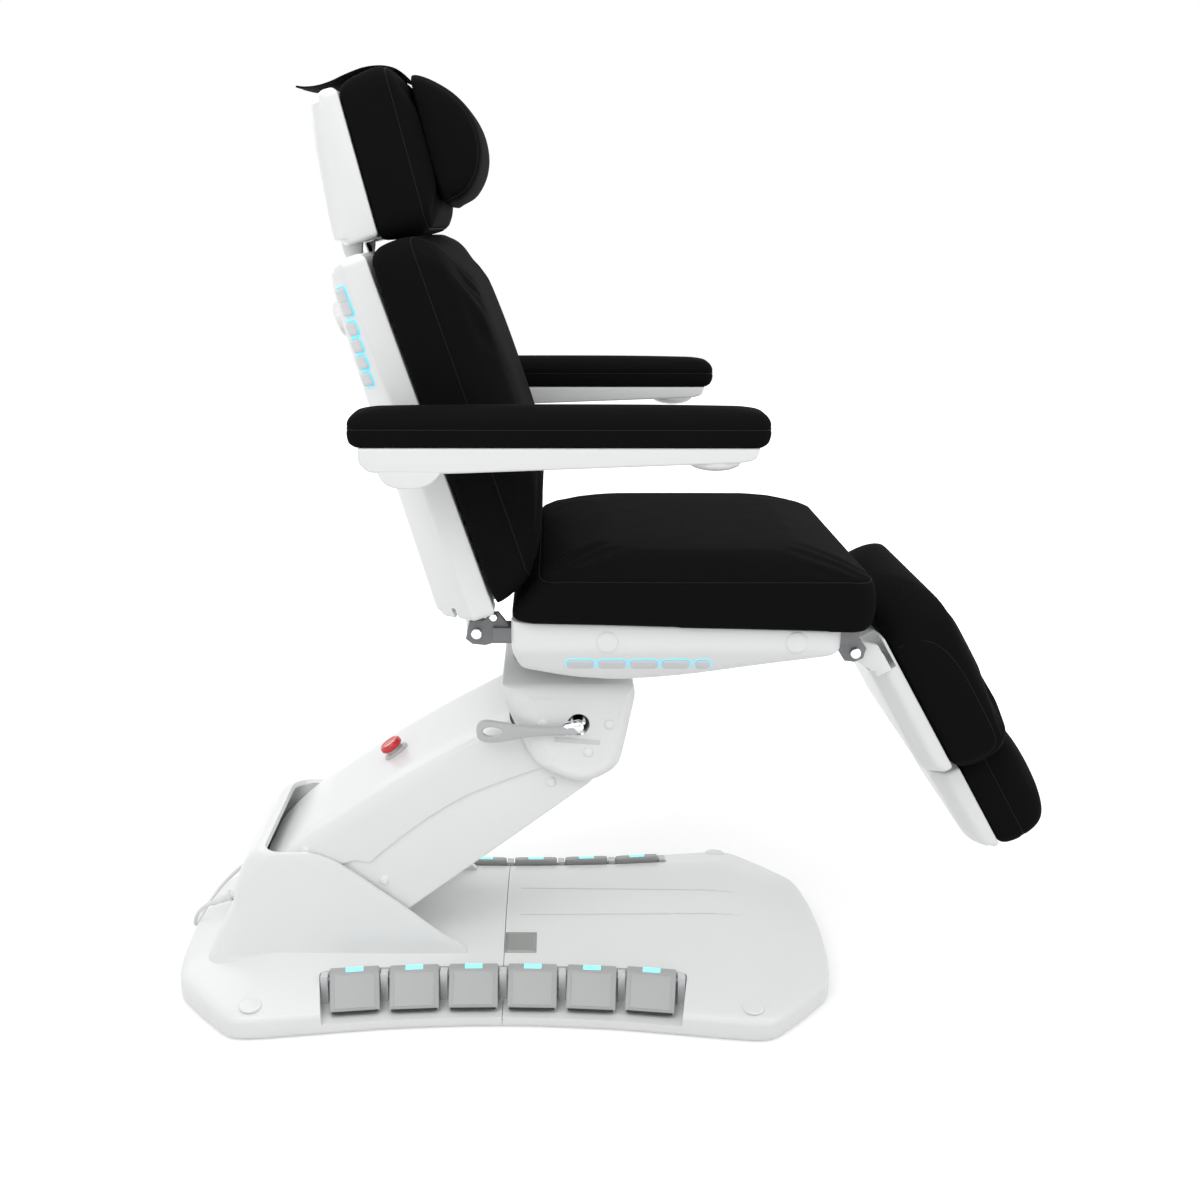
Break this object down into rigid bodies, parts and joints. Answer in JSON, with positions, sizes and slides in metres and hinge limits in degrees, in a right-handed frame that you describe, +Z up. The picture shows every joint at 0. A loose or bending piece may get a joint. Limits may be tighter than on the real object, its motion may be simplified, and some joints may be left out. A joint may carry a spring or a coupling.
{
  "type": "procedure chair",
  "caption": "Powered procedure chair with a parallel-arm lift, swivel seat, reclining back, head rest, arm rests, leg and foot rest, foot pedals and a moulded base.",
  "frame": {"origin": "the centre of the base's footprint, on the floor", "axes": "+X points to the foot end of the chair, +Y to the sitter's left, away from the picture's camera, and +Z up"},
  "size_m": [1.4759, 0.8585, 1.494],
  "materials": {
    "white_gloss": "smooth moulded gloss",
    "frame_steel": "dark grey powder coat",
    "actuator_steel": "silver grey paint",
    "chrome": "polished",
    "lever_grey": "satin, slightly translucent grey",
    "leather_black": "smooth black upholstery",
    "pedal_grey": "satin grey",
    "key_grey": "satin light grey",
    "estop_red": "gloss red",
    "cord_white": "white cable jacket"
  },
  "bodies": {
    "base": {"base_frame": "frame_steel", "base_shell_head": "white_gloss", "base_shell_foot": "white_gloss", "cord_gland": "cord_white", "cord_run": "cord_white", "cord_coil": "cord_white", "plug": "cord_white"},
    "lift_arm": {"lift_link": "frame_steel", "lift_cover": "white_gloss", "lift_actuator": "actuator_steel"},
    "estop": {"estop_button": "estop_red"},
    "parallel_arm": {"parallel_link": "white_gloss"},
    "lift_head": {"lift_head_frame": "frame_steel", "lift_head_casing": "white_gloss"},
    "lever": {"lock_lever": "lever_grey"},
    "swivel": {"turntable": "frame_steel"},
    "seat": {"seat_frame": "frame_steel", "seat_shell": "white_gloss", "seat_cushion": "leather_black", "seat_actuators": "actuator_steel"},
    "back": {"back_frame": "actuator_steel", "back_shell": "white_gloss", "back_cushion": "leather_black"},
    "rocker": {"back_rocker": "key_grey"},
    "knob": {"head_knob": "white_gloss"},
    "head_slide": {"head_rods": "chrome"},
    "head": {"head_shell": "white_gloss", "head_cushion": "leather_black", "head_pillow": "leather_black"},
    "armrest_r": {"armrest_shell_r": "white_gloss", "armrest_pad_r": "leather_black"},
    "armrest_l": {"armrest_shell_l": "white_gloss", "armrest_pad_l": "leather_black"},
    "leg": {"leg_frame": "actuator_steel", "leg_shell": "white_gloss", "leg_cushion": "leather_black", "leg_gusset": "leather_black"},
    "foot": {"foot_shell": "white_gloss", "foot_cushion": "leather_black"},
    "seat_key_1": {"seat_key_1": "key_grey"},
    "seat_key_2": {"seat_key_2": "key_grey"},
    "seat_key_3": {"seat_key_3": "key_grey"},
    "seat_key_4": {"seat_key_4": "key_grey"},
    "seat_key_5": {"seat_key_5": "key_grey"},
    "back_key_1": {"back_key_1": "key_grey"},
    "back_key_2": {"back_key_2": "key_grey"},
    "back_key_3": {"back_key_3": "key_grey"},
    "back_key_4": {"back_key_4": "key_grey"},
    "pedal_r1": {"pedal_r1": "pedal_grey"},
    "pedal_r2": {"pedal_r2": "pedal_grey"},
    "pedal_r3": {"pedal_r3": "pedal_grey"},
    "pedal_r4": {"pedal_r4": "pedal_grey"},
    "pedal_r5": {"pedal_r5": "pedal_grey"},
    "pedal_r6": {"pedal_r6": "pedal_grey"},
    "pedal_l1": {"pedal_l1": "pedal_grey"},
    "pedal_l2": {"pedal_l2": "pedal_grey"},
    "pedal_l3": {"pedal_l3": "pedal_grey"},
    "pedal_l4": {"pedal_l4": "pedal_grey"},
    "pedal_l5": {"pedal_l5": "pedal_grey"},
    "pedal_l6": {"pedal_l6": "pedal_grey"}
  },
  "joints": [
    {"name": "lift", "type": "hinge", "parent": "base", "child": "lift_arm", "pos_m": [-0.345, 0, 0.215], "axis": [0, -1, 0], "range_deg": [-20, 20]},
    {"name": "lift_parallel", "type": "hinge", "parent": "base", "child": "parallel_arm", "pos_m": [-0.283, 0, 0.157], "axis": [0, -1, 0], "range_deg": [-20, 20]},
    {"name": "lift_level", "type": "hinge", "parent": "lift_arm", "child": "lift_head", "pos_m": [0.04465, 0, 0.47782], "axis": [0, -1, 0], "range_deg": [-20, 20]},
    {"name": "estop_press", "type": "slide", "parent": "lift_arm", "child": "estop", "axis": [0.5592, 0, -0.829], "range_m": [0, 0.004]},
    {"name": "lock_lever_turn", "type": "hinge", "parent": "lift_head", "child": "lever", "pos_m": [0.124, 0, 0.496], "axis": [0, -1, 0], "range_deg": [-35, 0]},
    {"name": "seat_swivel", "type": "hinge", "parent": "lift_head", "child": "swivel", "pos_m": [0.115, 0, 0.562], "axis": [0, 0, 1], "range_deg": [-120, 120]},
    {"name": "seat_tilt", "type": "hinge", "parent": "swivel", "child": "seat", "pos_m": [0.115, 0, 0.628], "axis": [0, -1, 0], "range_deg": [0, 12]},
    {"name": "seat_key_press_1", "type": "slide", "parent": "seat", "child": "seat_key_1", "axis": [0, 0.8508, 0.5255], "range_m": [0, 0.002], "stiffness_N_per_m": 1200},
    {"name": "seat_key_press_2", "type": "slide", "parent": "seat", "child": "seat_key_2", "axis": [0, 0.8508, 0.5255], "range_m": [0, 0.002], "stiffness_N_per_m": 1200},
    {"name": "seat_key_press_3", "type": "slide", "parent": "seat", "child": "seat_key_3", "axis": [0, 0.8508, 0.5255], "range_m": [0, 0.002], "stiffness_N_per_m": 1200},
    {"name": "seat_key_press_4", "type": "slide", "parent": "seat", "child": "seat_key_4", "axis": [0, 0.8508, 0.5255], "range_m": [0, 0.002], "stiffness_N_per_m": 1200},
    {"name": "seat_key_press_5", "type": "slide", "parent": "seat", "child": "seat_key_5", "axis": [0, 0.8508, 0.5255], "range_m": [0, 0.002], "stiffness_N_per_m": 1200},
    {"name": "back_recline", "type": "hinge", "parent": "seat", "child": "back", "pos_m": [-0.033, 0, 0.674], "axis": [0, -1, 0], "range_deg": [0, 68]},
    {"name": "back_rocker_tip", "type": "hinge", "parent": "back", "child": "rocker", "pos_m": [-0.20719, -0.23739, 1.16613], "axis": [-0.5157, 0.8388, -0.1746], "range_deg": [-4, 4], "stiffness_Nm_per_rad": 0.6},
    {"name": "back_key_press_1", "type": "slide", "parent": "back", "child": "back_key_1", "axis": [0.7945, 0.5445, 0.2689], "range_m": [0, 0.002], "stiffness_N_per_m": 1200},
    {"name": "back_key_press_2", "type": "slide", "parent": "back", "child": "back_key_2", "axis": [0.7945, 0.5445, 0.2689], "range_m": [0, 0.002], "stiffness_N_per_m": 1200},
    {"name": "back_key_press_3", "type": "slide", "parent": "back", "child": "back_key_3", "axis": [0.7945, 0.5445, 0.2689], "range_m": [0, 0.002], "stiffness_N_per_m": 1200},
    {"name": "back_key_press_4", "type": "slide", "parent": "back", "child": "back_key_4", "axis": [0.7945, 0.5445, 0.2689], "range_m": [0, 0.002], "stiffness_N_per_m": 1200},
    {"name": "head_knob_turn", "type": "hinge", "parent": "back", "child": "knob", "pos_m": [-0.25014, 0, 1.12837], "axis": [-0.9472, 0, -0.3206], "range_deg": [-90, 90]},
    {"name": "head_height", "type": "slide", "parent": "back", "child": "head_slide", "axis": [-0.3206, 0, 0.9472], "range_m": [0, 0.08]},
    {"name": "head_tilt", "type": "hinge", "parent": "head_slide", "child": "head", "pos_m": [-0.22164, 0, 1.25626], "axis": [0, -1, 0], "range_deg": [0, 30]},
    {"name": "armrest_turn_r", "type": "hinge", "parent": "back", "child": "armrest_r", "pos_m": [-0.11501, -0.342, 0.94998], "axis": [0, -1, 0], "range_deg": [-50, 95]},
    {"name": "armrest_turn_l", "type": "hinge", "parent": "back", "child": "armrest_l", "pos_m": [-0.11501, 0.342, 0.94998], "axis": [0, -1, 0], "range_deg": [-50, 95]},
    {"name": "leg_raise", "type": "hinge", "parent": "seat", "child": "leg", "pos_m": [0.543, 0, 0.644], "axis": [0, -1, 0], "range_deg": [0, 60], "deforming": ["leg_gusset"]},
    {"name": "foot_extend", "type": "slide", "parent": "leg", "child": "foot", "axis": [0.5, 0, -0.866], "range_m": [0, 0.1]},
    {"name": "pedal_r1_press", "type": "hinge", "parent": "base", "child": "pedal_r1", "pos_m": [-0.2475, -0.206, 0.062], "axis": [0.9925, 0.1219, 0], "range_deg": [0, 4], "stiffness_Nm_per_rad": 14},
    {"name": "pedal_r2_press", "type": "hinge", "parent": "base", "child": "pedal_r2", "pos_m": [-0.1485, -0.199, 0.062], "axis": [0.9976, 0.0698, 0], "range_deg": [0, 4], "stiffness_Nm_per_rad": 14},
    {"name": "pedal_r3_press", "type": "hinge", "parent": "base", "child": "pedal_r3", "pos_m": [-0.0495, -0.195, 0.062], "axis": [0.9998, 0.0209, 0], "range_deg": [0, 4], "stiffness_Nm_per_rad": 14},
    {"name": "pedal_r4_press", "type": "hinge", "parent": "base", "child": "pedal_r4", "pos_m": [0.0495, -0.195, 0.062], "axis": [0.9998, -0.0209, 0], "range_deg": [0, 4], "stiffness_Nm_per_rad": 14},
    {"name": "pedal_r5_press", "type": "hinge", "parent": "base", "child": "pedal_r5", "pos_m": [0.1485, -0.199, 0.062], "axis": [0.9976, -0.0698, 0], "range_deg": [0, 4], "stiffness_Nm_per_rad": 14},
    {"name": "pedal_r6_press", "type": "hinge", "parent": "base", "child": "pedal_r6", "pos_m": [0.2475, -0.206, 0.062], "axis": [0.9925, -0.1219, 0], "range_deg": [0, 4], "stiffness_Nm_per_rad": 14},
    {"name": "pedal_l1_press", "type": "hinge", "parent": "base", "child": "pedal_l1", "pos_m": [-0.2475, 0.206, 0.062], "axis": [-0.9925, 0.1219, 0], "range_deg": [0, 4], "stiffness_Nm_per_rad": 14},
    {"name": "pedal_l2_press", "type": "hinge", "parent": "base", "child": "pedal_l2", "pos_m": [-0.1485, 0.199, 0.062], "axis": [-0.9976, 0.0698, 0], "range_deg": [0, 4], "stiffness_Nm_per_rad": 14},
    {"name": "pedal_l3_press", "type": "hinge", "parent": "base", "child": "pedal_l3", "pos_m": [-0.0495, 0.195, 0.062], "axis": [-0.9998, 0.0209, 0], "range_deg": [0, 4], "stiffness_Nm_per_rad": 14},
    {"name": "pedal_l4_press", "type": "hinge", "parent": "base", "child": "pedal_l4", "pos_m": [0.0495, 0.195, 0.062], "axis": [-0.9998, -0.0209, 0], "range_deg": [0, 4], "stiffness_Nm_per_rad": 14},
    {"name": "pedal_l5_press", "type": "hinge", "parent": "base", "child": "pedal_l5", "pos_m": [0.1485, 0.199, 0.062], "axis": [-0.9976, -0.0698, 0], "range_deg": [0, 4], "stiffness_Nm_per_rad": 14},
    {"name": "pedal_l6_press", "type": "hinge", "parent": "base", "child": "pedal_l6", "pos_m": [0.2475, 0.206, 0.062], "axis": [-0.9925, -0.1219, 0], "range_deg": [0, 4], "stiffness_Nm_per_rad": 14}
  ],
  "couplings": [
    {"joint": "lift_parallel", "follows": "lift", "ratio": 1},
    {"joint": "lift_level", "follows": "lift", "ratio": -1}
  ]
}
